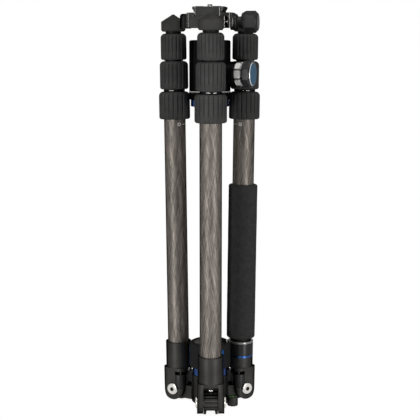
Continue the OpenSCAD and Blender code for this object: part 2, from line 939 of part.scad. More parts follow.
// Three upright bars round the column lock, between its lower face and its bevel
module windows(r, width, margin)
    for (azimuth = window_azimuth)
        rotate([0, 0, azimuth])
            translate([collet_r + edge, -width / 2, grip_lock_low + 2 * edge - margin])
                cube([
                    r - collet_r - edge,
                    width,
                    grip_lock_high - grip_lock_bevel - grip_lock_low - 3 * edge + 2 * margin,
                ]);

module column_lock_grip()
    color(rubber)
        difference() {
            rotate_extrude()
                polygon([
                    [0, grip_lock_low], [grip_lock_r - edge, grip_lock_low],
                    [grip_lock_r, grip_lock_low + edge],
                    [grip_lock_r, grip_lock_high - grip_lock_bevel],
                    [grip_lock_r - edge, grip_lock_high - edge],
                    [grip_lock_top_r, grip_lock_high], [0, grip_lock_high],
                ]);
            bore(sleeve_r + run_fit, grip_lock_low, grip_lock_high - edge + pass_gap - over);
            bore(grip_lock_top_r - soft_edge, grip_lock_low, grip_lock_high);
            windows(2 * grip_lock_r, window_w, pass_gap);
            lock_peg(pass_gap);
        }

module column_tube()
    color(carbon)
        ring(column_d / 2, column_d / 2 - column_wall, column_low, column_high);

module column_plate()
    color(blue) {
        bar(plate_d / 2, column_high, pan_low, edge, edge);
        translate([0, 0, column_high - column_stub])
            cylinder(h = column_stub + edge, r = column_d / 2 - column_wall - run_fit);
        translate([0, 0, pan_low - edge])
            cylinder(h = stud_len + edge, r = stud_d / 2);
    }

module column_cap()
    color(casting)
        difference() {
            union() {
                bar(cap_d / 2, column_low - cap_h, column_low, edge, edge);
                translate([0, 0, column_low - edge])
                    cylinder(h = column_stub + edge, r = column_d / 2 - column_wall - run_fit);
            }
            hook_cut();
        }

module hook_cut() {
    slot = hook_t + 2 * pass_gap;
    translate([-hook_d / 2 - pass_gap, -slot / 2, column_low - cap_h - over])
        cube([hook_d + 2 * pass_gap, slot, hook_d + over]);
    bore(hook_t / 2 + run_fit, column_low, column_low + column_stub);
}

module column_hook()
    color(silver)
        union() {
            translate([0, 0, column_low - cap_h + hook_d / 2])
                across(hook_t)
                    hook_side();
            translate([0, 0, column_low])
                cylinder(h = column_stub + hook_travel + 2 * edge, r = hook_t / 2);
            translate([0, 0, column_low + column_stub + hook_travel + pass_gap])
                cylinder(h = 2 * edge, r = hook_t);
        }

module hook_side()
    difference() {
        union() {
            circle(r = hook_d / 2 - edge);
            translate([-hook_t / 2, 0])
                square([hook_t, hook_d / 2 - edge]);
        }
        circle(r = hook_d / 2 - edge - hook_t * hook_wire_share);
        rotate([0, 0, -30])
            translate([hook_t, -hook_t / 2])
                square([hook_d, hook_t]);
    }

// Ball head
module pan_base()
    color(casting)
        difference() {
            union() {
                bar(pan_r, pan_low, pan_low + pan_h, edge / 2, edge);
                translate([0, 0, pan_low + pan_h - edge])
                    cylinder(h = spigot_h + edge, r = spigot_r);
            }
            bore(stud_d / 2 + run_fit, pan_low, pan_low + stud_len);
        }

module head_housing()
    color(casting)
        difference() {
            union() {
                bar(housing_d / 2, housing_low, housing_high, soft_edge, edge / 2);
                radial_frame(lock_azimuth, lock_axis_z)
                    bar(lock_boss_d / 2, housing_d / 4, lock_boss_r, edge, edge);
                radial_frame(pan_knob_azimuth, pan_knob_z)
                    bar(pan_boss_r, housing_d / 4, housing_d / 2 + soft_edge, edge / 2, edge);
            }
            bore(spigot_r + run_fit, housing_low, housing_low + spigot_h);
            translate([0, 0, ball_z])
                sphere(r = ball_r + run_fit);
            drop_notch();
            radial_frame(lock_azimuth, lock_axis_z)
                bore(lock_shaft_r + run_fit, lock_shaft_in, lock_boss_r);
            radial_frame(pan_knob_azimuth, pan_knob_z)
                bore(pan_shaft_r + run_fit, spigot_r + 2 * soft_edge, housing_d / 2 + soft_edge);
        }

// Notch in the housing's wall that lets the stem drop to the side
module drop_notch()
    radial_frame(notch_azimuth, ball_z) {
        cylinder(h = housing_d, r = stem_d / 2 + edge);
        translate([-2 * ball_depth, -stem_d / 2 - edge, 0])
            cube([2 * ball_depth, stem_d + 2 * edge, housing_d]);
    }

module ball()
    color(silver) {
        translate([0, 0, ball_z])
            sphere(r = ball_r);
        translate([0, 0, ball_z])
            cylinder(h = stem_top - ball_z, r = stem_d / 2);
        translate([0, 0, stem_top - edge])
            cylinder(h = stem_pin_h + edge, r = stem_pin_r);
    }

// Eight-sided knob with bevelled ends and a flat to each side
module faceted(r, z0, z1)
    intersection() {
        bevelled(r, z0, z1, soft_edge, soft_edge);
        translate([0, 0, z0 - over])
            rotate([0, 0, 180 / knob_sides])
                cylinder(h = z1 - z0 + 2 * over, r = r * corner_share, $fn = knob_sides);
    }

module ball_lock_hub()
    color(silver)
        radial_frame(lock_azimuth, lock_axis_z) {
            faceted(lock_ring_d / 2, lock_boss_r + pass_gap, lock_ring_r);
            translate([0, 0, lock_shaft_in])
                cylinder(h = lock_knob_r - lock_cap_h - edge - lock_shaft_in, r = lock_shaft_r);
        }

module ball_lock_knob()
    color(rubber)
        radial_frame(lock_azimuth, lock_axis_z)
            difference() {
                union() {
                    faceted(lock_knob_d / 2, lock_ring_r + edge, lock_knob_r);
                    translate([0, 0, lock_ring_r])
                        cylinder(h = 2 * edge, r = lock_ring_d / 2 - soft_edge);
                }
                bore(lock_shaft_r + run_fit, lock_ring_r, lock_knob_r);
                bore(lock_cap_d / 2 + run_fit, lock_knob_r - lock_cap_h + over, lock_knob_r);
            }

module ball_lock_cap()
    color(blue)
        radial_frame(lock_azimuth, lock_axis_z)
            bar(lock_cap_d / 2, lock_knob_r - lock_cap_h, lock_knob_r + edge, soft_edge, edge / 2);

module pan_lock_knob()
    color(rubber)
        radial_frame(pan_knob_azimuth, pan_knob_z) {
            faceted(pan_knob_d / 2, pan_knob_low, pan_knob_low + pan_knob_len);
            translate([0, 0, spigot_r + 2 * soft_edge])
                cylinder(h = pan_knob_low - spigot_r, r = pan_shaft_r);
        }

// Clamp
module bevelled_plan(x0, x1, y, bevel)
    polygon([
        [x0 + bevel, -y], [x1 - bevel, -y], [x1, bevel - y], [x1, y - bevel],
        [x1 - bevel, y], [x0 + bevel, y], [x0, y - bevel], [x0, bevel - y],
    ]);

module clamp_body() {
    body_right = moving_reach - jaw_t - jaw_gap;
    color(casting)
        clamp_frame()
            difference() {
                union() {
                    bar(stem_d, clamp_low, jaw_low + edge, edge, edge);
                    intersection() {
                        across(jaw_depth)
                            polygon([
                                [-fixed_reach, jaw_low], [body_right, jaw_low],
                                [body_right, channel_z], [-qr_w / 2 - pass_gap, channel_z],
                                [-qr_neck, qr_low + qr_dovetail], [-qr_neck, jaw_high],
                                [-fixed_reach, jaw_high],
                            ]);
                        translate([0, 0, jaw_low])
                            linear_extrude(jaw_h)
                                bevelled_plan(-fixed_reach, moving_reach, jaw_depth / 2, jaw_bevel);
                    }
                    level_boss();
                }
                bore(stem_pin_r + run_fit, clamp_low, stem_top + stem_pin_h);
                translate([0, 0, clamp_axis_z])
                    rotate([0, 90, 0])
                        bore(clamp_screw_d / 2 + run_fit, stem_pin_r + 2 * edge, body_right);
                rod_places()
                    bore(rod_d / 2 + run_fit, rod_in - edge, body_right);
            }
}

module level_boss()
    translate([-fixed_reach - level_boss_out, -level_boss_y, 0]) {
        bar(level_boss_r, jaw_low - edge, jaw_high - edge, level_boss_round, edge);
        translate([0, -level_boss_r, jaw_low - edge])
            cube([level_boss_out + soft_edge, 2 * level_boss_r, jaw_h - edge]);
    }

module rod_places()
    for (side = [-1, 1])
        translate([0, side * rod_y, clamp_axis_z])
            rotate([0, 90, 0])
                children();

module clamp_jaw() {
    jaw_in = moving_reach - jaw_t;
    color(casting)
        clamp_frame()
            difference() {
                union() {
                    intersection() {
                        across(jaw_depth)
                            polygon([
                                [jaw_in, jaw_low + edge], [jaw_in + jaw_t, jaw_low + edge],
                                [jaw_in + jaw_t, jaw_high], [qr_neck, jaw_high],
                                [qr_neck, qr_low + qr_dovetail], [qr_w / 2 + pass_gap, qr_low],
                                [jaw_in, qr_low],
                            ]);
                        translate([0, 0, jaw_low])
                            linear_extrude(jaw_h)
                                bevelled_plan(0, moving_reach, jaw_depth / 2 - jaw_bevel, jaw_bevel);
                    }
                    translate([0, 0, clamp_axis_z])
                        rotate([0, 90, 0])
                            bar(flange_d / 2, jaw_in + edge, jaw_in + jaw_t + flange_t, 2 * edge, edge);
                }
                translate([0, 0, clamp_axis_z])
                    rotate([0, 90, 0])
                        bore(clamp_screw_d / 2 + run_fit, jaw_in, jaw_in + jaw_t + flange_t);
                rod_places()
                    bore(rod_d / 2 + run_fit, jaw_in, jaw_in + jaw_t / 2);
            }
}

module clamp_rods()
    color(silver)
        clamp_frame()
            rod_places()
                translate([0, 0, rod_in])
                    cylinder(h = moving_reach - jaw_t / 2 - rod_in, r = rod_d / 2);

module clamp_knob() {
    neck_low = moving_reach + flange_t + pass_gap;
    knob_low = neck_low + knob_neck;
    hex_low = knob_low + clamp_rim_len + edge / 2;
    r = clamp_knob_d / 2;
    color(rubber)
        screw_frame() {
            translate([0, 0, knob_low])
                cylinder(h = clamp_rim_len, r1 = r - soft_edge, r2 = r - edge / 2);
            translate([0, 0, knob_low])
                cylinder(h = clamp_rim_len + edge, r = r - soft_edge);
            intersection() {
                bevelled(r, hex_low, knob_low + clamp_knob_len, edge / 2, clamp_knob_bevel);
                translate([0, 0, knob_low])
                    cylinder(h = clamp_knob_len + over, r = r * corner_share, $fn = clamp_knob_sides);
            }
            translate([0, 0, neck_low])
                cylinder(h = knob_neck + edge, r = flange_d / 2 - 3 * edge);
            translate([0, 0, stem_pin_r + 3 * edge])
                cylinder(h = neck_low - stem_pin_r - 2 * edge, r = clamp_screw_d / 2);
        }
}

// Quick release plate and its screw
module quick_release_plate()
    color(casting)
        clamp_frame()
            difference() {
                intersection() {
                    across(qr_len)
                        qr_side();
                    translate([0, 0, qr_low])
                        linear_extrude(qr_h)
                            qr_plan();
                }
                bore(screw_d / 2 + run_fit, qr_low, qr_top);
                bore(screw_head_r + run_fit, qr_low, qr_low + screw_head_h + edge);
            }

// Plan of the plate: bevelled body, and rounded lobes set back from its ends
module qr_plan() {
    bevelled_plan(-qr_w / 2, qr_w / 2, qr_len / 2, qr_bevel);
    rounded_plan(qr_flange_w / 2, qr_len / 2 - qr_lobe_in, qr_corner);
}

// Outline of the plate: its right half, then the same mirrored
module qr_side()
    polygon(concat(qr_half, [for (i = [len(qr_half) - 1:-1:0]) [-qr_half[i].x, qr_half[i].y]]));

module camera_screw()
    color(silver) {
        translate([0, 0, qr_low + edge / 2])
            cylinder(h = screw_head_h, r = screw_head_r);
        translate([0, 0, qr_low + edge])
            cylinder(h = qr_h, r = screw_neck_d / 2);
        bar(screw_d / 2, qr_top + screw_gap, qr_top + screw_reach, edge / 2, screw_gap);
    }

module full_yoke() yoke(seat_h, tube_d / 2, seat_h - seat_depth - seat_floor);
module grip_yoke() {
    top = seat_h - coupling_len - coupling_ring;
    yoke(top, coupling_stud_r, top - coupling_stud_len - seat_floor);
}
module along_leg(azimuth)
    leg_frame(azimuth)
        translate([0, 0, seat_h])
            children();

module first_tube() leg_tube(0, -seat_depth);
module short_first_tube() leg_tube(0, -coupling_len + 2 * soft_edge);
module second_tube() leg_tube(1, nest_start);
module third_tube() leg_tube(2, nest_start + nest_step);

leg_frame(front_azimuth) full_yoke();  // front_yoke
along_leg(front_azimuth) first_tube();  // front_tube_1
along_leg(front_azimuth) second_tube();  // front_tube_2
along_leg(front_azimuth) third_tube();  // front_tube_3
along_leg(front_azimuth) last_tube();  // front_tube_4
along_leg(front_azimuth) twist_lock(0);  // front_lock_1
along_leg(front_azimuth) twist_lock(1);  // front_lock_2
along_leg(front_azimuth) twist_lock(2);  // front_lock_3
along_leg(front_azimuth) foot();  // front_foot
leg_frame(front_azimuth) angle_lock();  // front_angle_lock
leg_frame(front_azimuth) pivot_bolt();  // front_pivot_bolt
leg_frame(right_azimuth) grip_yoke();  // right_yoke
along_leg(right_azimuth) short_first_tube();  // right_tube_1
along_leg(right_azimuth) second_tube();  // right_tube_2
along_leg(right_azimuth) third_tube();  // right_tube_3
along_leg(right_azimuth) last_tube();  // right_tube_4
along_leg(right_azimuth) twist_lock(0);  // right_lock_1
along_leg(right_azimuth) twist_lock(1);  // right_lock_2
along_leg(right_azimuth) twist_lock(2);  // right_lock_3
along_leg(right_azimuth) foot();  // right_foot
leg_frame(right_azimuth) angle_lock();  // right_angle_lock
leg_frame(right_azimuth) pivot_bolt();  // right_pivot_bolt
leg_frame(left_azimuth) full_yoke();  // left_yoke
along_leg(left_azimuth) first_tube();  // left_tube_1
along_leg(left_azimuth) second_tube();  // left_tube_2
along_leg(left_azimuth) third_tube();  // left_tube_3
along_leg(left_azimuth) last_tube();  // left_tube_4
along_leg(left_azimuth) twist_lock(0);  // left_lock_1
along_leg(left_azimuth) twist_lock(1);  // left_lock_2
along_leg(left_azimuth) twist_lock(2);  // left_lock_3
along_leg(left_azimuth) foot();  // left_foot
leg_frame(left_azimuth) angle_lock();  // left_angle_lock
leg_frame(left_azimuth) pivot_bolt();  // left_pivot_bolt
along_leg(right_azimuth) foam_grip();
along_leg(right_azimuth) grip_coupling();
along_leg(right_azimuth) grip_ring();
spider();
level_cup();
level_vial();
column_bush();
seat_ring();
column_lock_sleeve();
column_lock_grip();
column_tube();
column_plate();
column_cap();
column_hook();
pan_base();
head_housing();
pan_lock_knob();
ball();
ball_lock_hub();
ball_lock_knob();
ball_lock_cap();
clamp_body();
clamp_jaw();
clamp_rods();
clamp_knob();
quick_release_plate();
camera_screw();
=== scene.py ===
"""Looks of the folded travel tripod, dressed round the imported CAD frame.

Blender works in metres with +Z up the column. Sizes here are in mm, apart from the camera, the stage, the
lamps, and the bevels and bumps of materials, which are in metres. Angles are in degrees from +X towards +Y.
"""

import json
import math

import bpy
from mathutils import Matrix, Vector, noise


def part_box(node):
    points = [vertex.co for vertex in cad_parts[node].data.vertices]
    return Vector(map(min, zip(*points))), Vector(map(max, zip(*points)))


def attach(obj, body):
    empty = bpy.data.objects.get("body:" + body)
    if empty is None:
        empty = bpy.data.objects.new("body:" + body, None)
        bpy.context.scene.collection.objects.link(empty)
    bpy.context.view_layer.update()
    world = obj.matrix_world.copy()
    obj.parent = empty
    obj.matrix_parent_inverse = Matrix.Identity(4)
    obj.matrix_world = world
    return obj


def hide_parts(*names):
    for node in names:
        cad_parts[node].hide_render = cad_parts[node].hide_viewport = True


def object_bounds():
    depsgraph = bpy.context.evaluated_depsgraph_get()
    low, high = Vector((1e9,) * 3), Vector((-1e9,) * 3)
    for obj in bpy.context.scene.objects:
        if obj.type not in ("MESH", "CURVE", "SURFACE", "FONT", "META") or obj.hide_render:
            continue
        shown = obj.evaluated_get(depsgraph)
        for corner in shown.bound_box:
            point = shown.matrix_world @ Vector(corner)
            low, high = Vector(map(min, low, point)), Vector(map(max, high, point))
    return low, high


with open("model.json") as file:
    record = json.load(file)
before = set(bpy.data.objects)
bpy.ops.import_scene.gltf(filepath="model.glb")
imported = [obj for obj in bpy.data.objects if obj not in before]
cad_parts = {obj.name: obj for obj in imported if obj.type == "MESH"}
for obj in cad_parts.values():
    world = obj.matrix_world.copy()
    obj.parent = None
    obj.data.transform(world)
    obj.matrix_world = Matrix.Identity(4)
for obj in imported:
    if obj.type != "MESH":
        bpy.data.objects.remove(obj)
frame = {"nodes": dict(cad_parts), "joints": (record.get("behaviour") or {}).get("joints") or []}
cad_low, cad_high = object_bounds()
scene = bpy.context.scene
scene.view_settings.view_transform = "Standard"

MM = 0.001

# Sizes of the part: azimuth of each leg, lean of a folded leg, height of a leg tube's lower end above its
# pivot, radii of the top tube, of the neck between the first two collars and of the column, and the gap under
# the turning head
LEGS = {"front": -90.0, "right": 30.0, "left": 150.0}
LEAN = 0.79
SEAT_H = 62.3
TUBE_R = 14.0
NECK_R = 13.7
COLUMN_R = 12.0
PAN_GAP = 0.3

# Places taken from the frame
JOINTS = {joint["name"]: joint for joint in frame["joints"]}


def joint_at(name):
    """Place of a joint."""
    return [value / MM for value in JOINTS[name]["pos_m"]]


def azimuth_of(name):
    """Direction of a joint's axis, seen from above."""
    x, y, _ = JOINTS[name]["axis"]
    return math.degrees(math.atan2(y, x))


pivot_x, pivot_y, PIVOT_Z = joint_at("front_leg_fold")
PIVOT_R = math.hypot(pivot_x, pivot_y)
LOCK_AXIS_Z = joint_at("ball_lock_turn")[2]
KNOB_AZ = azimuth_of("ball_lock_turn")
CLAMP_AZ = azimuth_of("jaw_slide")
PAN_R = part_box("pan_base")[1].x / MM
PAN_TOP = joint_at("head_pan")[2] - PAN_GAP
PLATE_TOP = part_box("quick_release_plate")[1].z / MM
VIAL_AT = (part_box("level_vial")[0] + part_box("level_vial")[1]) / 2 / MM

# Collars: the ribs round each, and the cone that their outer sides stand out from, given by its radius at
# one height above the pivot and by how fast it narrows with height
COLLAR_RIBS = 20.0
COLLAR_CONE_R, COLLAR_CONE_Z = 18.9, 375.7
COLLAR_TAPER = 0.0447

# Carbon tubes: where the weave starts and ends above a leg's pivot, or above the ground on the column, the
# twist of its fibres in radians for each mm of height, and how far its pattern is drawn out along the tube
# Above WEAVE_HIGH the tubes are painted near black: painted shade on the necks between the collars
WEAVE_LOW, WEAVE_HIGH = 0.0, 393.0
GRIP_WEAVE_LOW = 68.5
WEAVE_TWIST = 0.0135
WEAVE_STRETCH = 0.035

# Details that the materials draw on the CAD pieces. HALF is half the width of a line, and REACH a distance
# out from the column
# The dark ring round a pivot bolt's head is painted shade in the gap there
BOLT_HEX_R, BOLT_GAP_SHADE_R, BOLT_GAP_SHADE_HALF = 2.7, 8.15, 0.45
COUPLING_RIM_Z = 60.6
BOSS_REACH = 27.2
CAP_RIM_R = 13.9
HUB_FLATS = 8.0
VIAL_LINE_R, VIAL_LINE_HALF = 2.6, 0.22
BUBBLE_X, BUBBLE_Y, BUBBLE_SPAN = 0.5, -0.3, 4.0
SLEEVE_TOP, PEG_LOW, PEG_TIP_REACH, PEG_AZ = 79.5, 82.45, 22.6, -15.0
SCREW_PITCH = 1.27

# Painted shadow lines under the ridges across the outer face of each lug: height, and radius of the stop arc
# there
LUG_SHADOW_LINES = ((26.6, 14.0), (23.4, 14.0), (18.4, 14.0), (12.8, 12.9))
LUG_SHADOW_HALF = 0.7
LUG_FACE_OUT = 3.0

# Camera, solved from the photograph's own edges
CAM_AT = (-0.0268, -1.3398, 0.4587)
CAM_DOWN, CAM_PAN = 8.56, -1.15165
CAM_SENSOR, CAM_LENS, CAM_REACH = 36.0, 89.85, 100.0


def camera():
    data = bpy.data.cameras.new("camera")
    data.sensor_fit = "HORIZONTAL"
    data.sensor_width = CAM_SENSOR
    data.lens = CAM_LENS
    data.clip_end = CAM_REACH
    ob = bpy.data.objects.new("camera", data)
    ob.location = CAM_AT
    ob.rotation_euler = (math.radians(90 - CAM_DOWN), 0.0, math.radians(CAM_PAN))
    scene.collection.objects.link(ob)
    return ob


scene.camera = camera()


# Places and meshes
def spin(angle, axis="Z"):
    return Matrix.Rotation(math.radians(angle), 4, axis)


def shift(x, y, z):
    return Matrix.Translation(Vector((x, y, z)) * MM)


def pivot_matrix(azimuth):
    """Frame of a leg's pivot: +X outward, +Z up."""
    return spin(azimuth) @ shift(PIVOT_R, 0, PIVOT_Z)


def leg_matrix(azimuth):
    """Frame of a leg: origin on its axis at the tube's lower end, +X outward, +Z along it."""
    return pivot_matrix(azimuth) @ spin(LEAN, "Y") @ shift(0, 0, SEAT_H)


def link(name, mesh, material, body):
    """Add a piece that rides on a body, in the given material."""
    ob = bpy.data.objects.new(name, mesh)
    scene.collection.objects.link(ob)
    mesh.materials.append(material)
    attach(ob, body)
    return ob


def mesh_from(name, points, faces, matrix, smooth=False):
    """Mesh of points in mm, set in its place by a matrix."""
    mesh = bpy.data.meshes.new(name)
    mesh.from_pydata([matrix @ (Vector(point) * MM) for point in points], [], faces)
    mesh.validate()
    for polygon in mesh.polygons:
        polygon.use_smooth = smooth
    return mesh


def polar(radius, angle, z):
    """Point at a radius and an angle in radians about +Z."""
    return radius * math.cos(angle), radius * math.sin(angle), z


def loop_faces(rows, count):
    """Faces between rows of count points, where each row is closed and the last row meets the first."""
    faces = []
    for i in range(rows):
        k = (i + 1) % rows
        for j in range(count):
            m = (j + 1) % count
            faces.append((i * count + j, k * count + j, k * count + m, i * count + m))
    return faces


def lathe(name, profile, sides, matrix, change=None):
    """Closed ring turned from a closed profile of (radius, height). change may move a point's radius."""
    points = []
    for i in range(sides):
        angle = math.tau * i / sides
        for radius, z in profile:
            if change:
                radius += change(angle, radius, z)
            points.append(polar(radius, angle, z))
    return mesh_from(name, points, loop_faces(sides, len(profile)), matrix, smooth=True)


def patch(name, radius, angles, heights, thick, matrix, steps=12):
    """Curved tile on a cylinder, whose outer face stands thick mm off the radius."""
    sunk = 0.05
    points = []
    faces = []
    for i in range(steps + 1):
        angle = math.radians(angles[0] + (angles[1] - angles[0]) * i / steps)
        for at in (radius - sunk, radius + thick):
            for z in heights:
                points.append(polar(at, angle, z))
    for i in range(steps):
        a, b = 4 * i, 4 * i + 4
        faces += [(a + 2, b + 2, b + 3, a + 3), (a, a + 1, b + 1, b),
                  (a + 1, a + 3, b + 3, b + 1), (a, b, b + 2, a + 2)]
    end = 4 * steps
    faces += [(0, 2, 3, 1), (end, end + 1, end + 3, end + 2)]
    return mesh_from(name, points, faces, matrix)


def flat_ring(name, radius, angle, z, r_out, r_in, thick, matrix, steps=28):
    """Ring printed on a cylinder, r_out and r_in measured along its surface."""
    points = []
    for i in range(steps):
        way = math.tau * i / steps
        for r, lift in ((r_in, 0.0), (r_in, thick), (r_out, thick), (r_out, 0.0)):
            turn = math.radians(angle) + r * math.cos(way) / radius
            points.append(polar(radius + lift, turn, z + r * math.sin(way)))
    return mesh_from(name, points, loop_faces(steps, 4), matrix)


# Materials
BLACK, WHITE = (0, 0, 0), (1, 1, 1)


def grey(value):
    return value, value, value


def scaled(colour, factor):
    return tuple(value * factor for value in colour)


class Tree:
    """Short-hand for building a node tree."""

    def __init__(self, tree):
        self.tree = tree

    def plug(self, socket, value):
        """Link a socket to another one, or give it a plain value."""
        if isinstance(value, bpy.types.NodeSocket):
            self.tree.links.new(value, socket)
        else:
            socket.default_value = value

    def node(self, kind, inputs, out=0, **props):
        """New node with its inputs plugged. Gives one of its outputs, where it has any."""
        new = self.tree.nodes.new(kind)
        for key, value in props.items():
            setattr(new, key, value)
        for key, value in inputs.items():
            self.plug(new.inputs[key], value)
        return new.outputs[out] if new.outputs else None

    def math(self, operation, a, b=0.0, c=0.0):
        return self.node("ShaderNodeMath", {0: a, 1: b, 2: c}, operation=operation)

    def add(self, a, b):
        return self.math("ADD", a, b)

    def take(self, a, b):
        return self.math("SUBTRACT", a, b)

    def times(self, a, b):
        return self.math("MULTIPLY", a, b)

    def times_add(self, a, factor, more):
        return self.math("MULTIPLY_ADD", a, factor, more)

    def above(self, a, b):
        return self.math("GREATER_THAN", a, b)

    def below(self, a, b):
        return self.math("LESS_THAN", a, b)

    def near(self, a, middle, half):
        """1 where a lies within half of the middle."""
        return self.math("COMPARE", a, middle, half)

    def span(self, x, y):
        """Distance of (x, y) from the origin."""
        return self.math("SQRT", self.add(self.times(x, x), self.times(y, y)))

    def along(self, x, y, azimuth):
        """How far (x, y) reaches in the direction of an azimuth."""
        angle = math.radians(azimuth)
        return self.add(self.times(x, math.cos(angle)), self.times(y, math.sin(angle)))

    def looked_at(self):
        """1 for what the camera sees, in gloss and through glass too."""
        path = self.tree.nodes.new("ShaderNodeLightPath").outputs
        seen = self.math("MAXIMUM", path["Is Camera Ray"], path["Is Glossy Ray"])
        return self.math("MAXIMUM", seen, path["Is Transmission Ray"])


class Mat(Tree):
    """Short-hand for a node material on Principled BSDF."""

    def __init__(self, name, roughness=0.5, metallic=0.0, specular=0.5, tint=1.0):
        self.mat = bpy.data.materials.new(name)
        self.mat.use_nodes = True
        super().__init__(self.mat.node_tree)
        self.bsdf = self.tree.nodes["Principled BSDF"]
        self.set("Roughness", roughness)
        self.set("Metallic", metallic)
        self.set("Specular IOR Level", specular)
        self.set("Specular Tint", (*grey(tint), 1.0))

    def set(self, socket, value):
        self.plug(self.bsdf.inputs[socket], value)

    def coords(self):
        return self.node("ShaderNodeTexCoord", {}, out="Object")

    def noise(self, vector, scale, detail=3.0, rough=0.5):
        """Noise, whose scale is per metre over coords() and per mm over place()."""
        return self.node("ShaderNodeTexNoise", {"Vector": vector, "Scale": scale, "Detail": detail,
                                                "Roughness": rough})

    def ramp(self, value, stops):
        """Colour ramp through stops of (place, colour)."""
        new = self.tree.nodes.new("ShaderNodeValToRGB")
        self.tree.links.new(value, new.inputs[0])
        elements = new.color_ramp.elements
        while len(elements) < len(stops):
            elements.new(0.5)
        for element, (place, colour) in zip(elements, stops):
            element.position = place
            element.color = (*colour, 1.0)
        return new.outputs[0]

    def cloudy(self, value, low, high):
        """Colour between two tones over the middle of a noise."""
        return self.ramp(value, [(0.3, low), (0.7, high)])

    def mix(self, factor, a, b):
        new = self.tree.nodes.new("ShaderNodeMix")
        new.data_type = "RGBA"
        for socket, value in ((new.inputs[0], factor), (new.inputs[6], a), (new.inputs[7], b)):
            self.plug(socket, (*value, 1.0) if isinstance(value, tuple) else value)
        return new.outputs[2]

    def split(self, vector):
        new = self.tree.nodes.new("ShaderNodeSeparateXYZ")
        self.tree.links.new(vector, new.inputs[0])
        return new.outputs[0], new.outputs[1], new.outputs[2]

    def join(self, x, y, z):
        return self.node("ShaderNodeCombineXYZ", {0: x, 1: y, 2: z})

    def bump(self, height, strength, distance, normal=None):
        inputs = {"Height": height, "Strength": strength, "Distance": distance}
        if normal is not None:
            inputs["Normal"] = normal
        return self.node("ShaderNodeBump", inputs)

    def edges(self, radius, upright=False):
        """1 along sharp edges, or along upright ones only, 0 on flat faces, and the softened normal."""
        soft = self.node("ShaderNodeBevel", {"Radius": radius}, samples=4)
        hard = self.node("ShaderNodeNewGeometry", {}, out="Normal")
        same = self.node("ShaderNodeVectorMath", {0: soft, 1: hard}, out="Value", operation="DOT_PRODUCT")
        edge = self.ramp(same, [(0.86, WHITE), (0.995, BLACK)])
        if upright:
            level = self.math("ABSOLUTE", self.split(soft)[2])
            edge = self.times(edge, self.below(level, 0.3))
        return edge, soft

    def place(self, azimuth=None):
        """Coordinates in mm, about the column, or about a leg's pivot with Z along the leg."""
        scale = {0: self.coords(), 1: grey(1 / MM)}
        place = self.node("ShaderNodeVectorMath", scale, operation="MULTIPLY")
        if azimuth is None:
            return place
        turned = {"Vector": place, "Rotation": (0, 0, math.radians(-azimuth)),
                  "Location": (-PIVOT_R, 0, -PIVOT_Z)}
        place = self.node("ShaderNodeMapping", turned)
        return self.node("ShaderNodeMapping", {"Vector": place, "Rotation": (0, math.radians(-LEAN), 0)})

    def about_lock(self):
        """Sideways and upward distance from the ball lock's axis."""
        x, y, z = self.split(self.place())
        return self.along(x, y, KNOB_AZ + 90), self.take(z, LOCK_AXIS_Z)

    def valleys(self, x, y, count, start, full):
        """1 in each of the valleys round an axis, 0 on the ridges."""
        wave = self.math("COSINE", self.times(self.math("ARCTAN2", y, x), count))
        return self.ramp(self.times(wave, -1.0), [(start, BLACK), (full, WHITE)])

    def rings(self, r, scale, strength):
        """Noise in fine turned rings, where r is the distance from their axis, set as a bump too."""
        rings = self.noise(self.join(r, 0.0, 0.0), scale=scale, rough=0.6)
        self.set("Normal", self.bump(rings, strength=strength, distance=0.00005))
        return rings


def carbon(name, azimuth, radius=TUBE_R, low=WEAVE_LOW):
    """Long diamond weave: two families of steep helical fibres, with black metal below it, and painted shade,
    near black, above it on the necks between the collars.
    """
    m = Mat(name, metallic=0.85, specular=0.0, tint=0.05)
    x, y, z = m.split(m.place(azimuth))
    angle = m.math("ARCTAN2", y, x)
    twist = m.times(z, WEAVE_TWIST)
    fine = []
    broad = []
    for turned in (m.add(angle, twist), m.take(angle, twist)):
        across = m.times(m.math("COSINE", turned), radius)
        deep = m.times(m.math("SINE", turned), radius)
        at = m.join(across, deep, m.times(z, WEAVE_STRETCH))
        fine.append(m.noise(at, scale=1.15, rough=0.65))
        broad.append(m.noise(at, scale=0.33, detail=2.0))
    over = m.ramp(m.add(m.take(broad[0], broad[1]), 0.5), [(0.44, BLACK), (0.56, WHITE)])
    # The two fibre families are the weave's own pattern; the dim family's darker tone is painted sheen,
    # standing for the fibres' anisotropic reflection
    bright = m.ramp(fine[0], [(0.36, (0.080, 0.072, 0.064)), (0.50, (0.128, 0.115, 0.103)),
                              (0.64, (0.190, 0.170, 0.154))])
    dim = m.ramp(fine[1], [(0.36, (0.052, 0.046, 0.041)), (0.50, (0.094, 0.084, 0.074)),
                           (0.64, (0.153, 0.137, 0.123))])
    # Outside woven the colour is near black: black metal below the weave, and painted shade above it
    woven = m.near(z, (low + WEAVE_HIGH) / 2, (WEAVE_HIGH - low) / 2)
    m.set("Base Color", m.mix(woven, grey(0.012), m.mix(over, bright, dim)))
    m.set("Roughness", m.times_add(broad[0], 0.12, 0.44))
    m.set("Normal", m.bump(m.add(fine[0], fine[1]), strength=0.12, distance=0.0002))
    return m.mat


